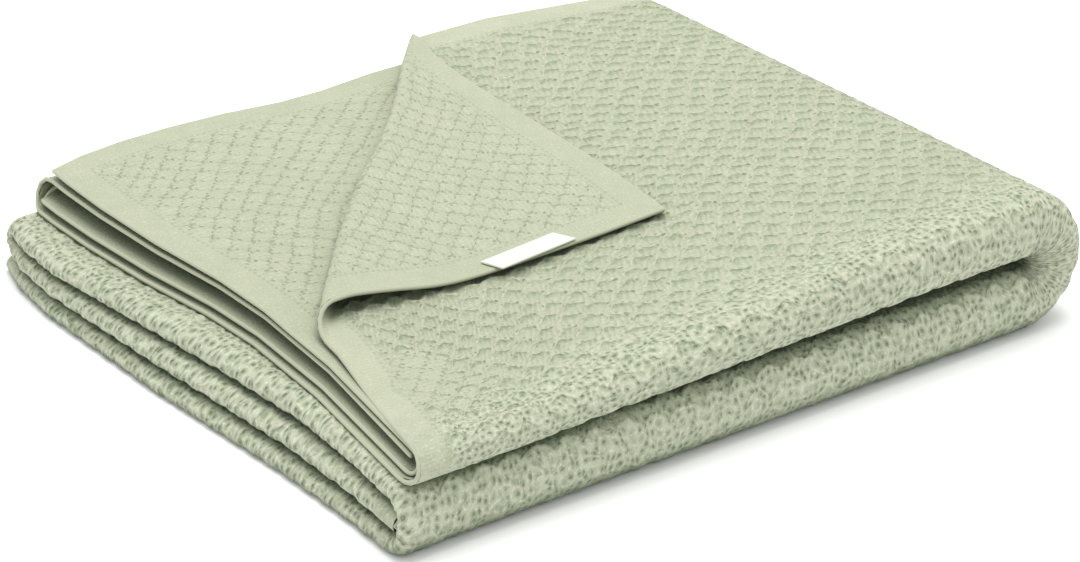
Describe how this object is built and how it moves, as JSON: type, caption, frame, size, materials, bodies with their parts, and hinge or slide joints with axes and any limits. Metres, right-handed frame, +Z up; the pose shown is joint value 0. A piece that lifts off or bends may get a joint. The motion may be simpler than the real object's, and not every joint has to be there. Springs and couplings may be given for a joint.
{
  "type": "crib blanket",
  "caption": "Knitted cotton crib blanket in a honeycomb stitch, folded into a two-deep bundle with its top corner turned back and a blank label on the hem.",
  "frame": {"origin": "under the middle of the bundle, on the plane it rests on", "axes": "+X along the front edge, from the end where the hems show to the end where the bundle is folded in half; +Y from the front edge to the back edge; +Z up"},
  "size_m": [0.3916, 0.3331, 0.0676],
  "materials": {
    "knitted_cotton": "matt pale sage cotton knit",
    "woven_label": "smooth off-white woven label, blank"
  },
  "bodies": {
    "root": {"blanket": "knitted_cotton", "label": "woven_label"}
  },
  "joints": []
}
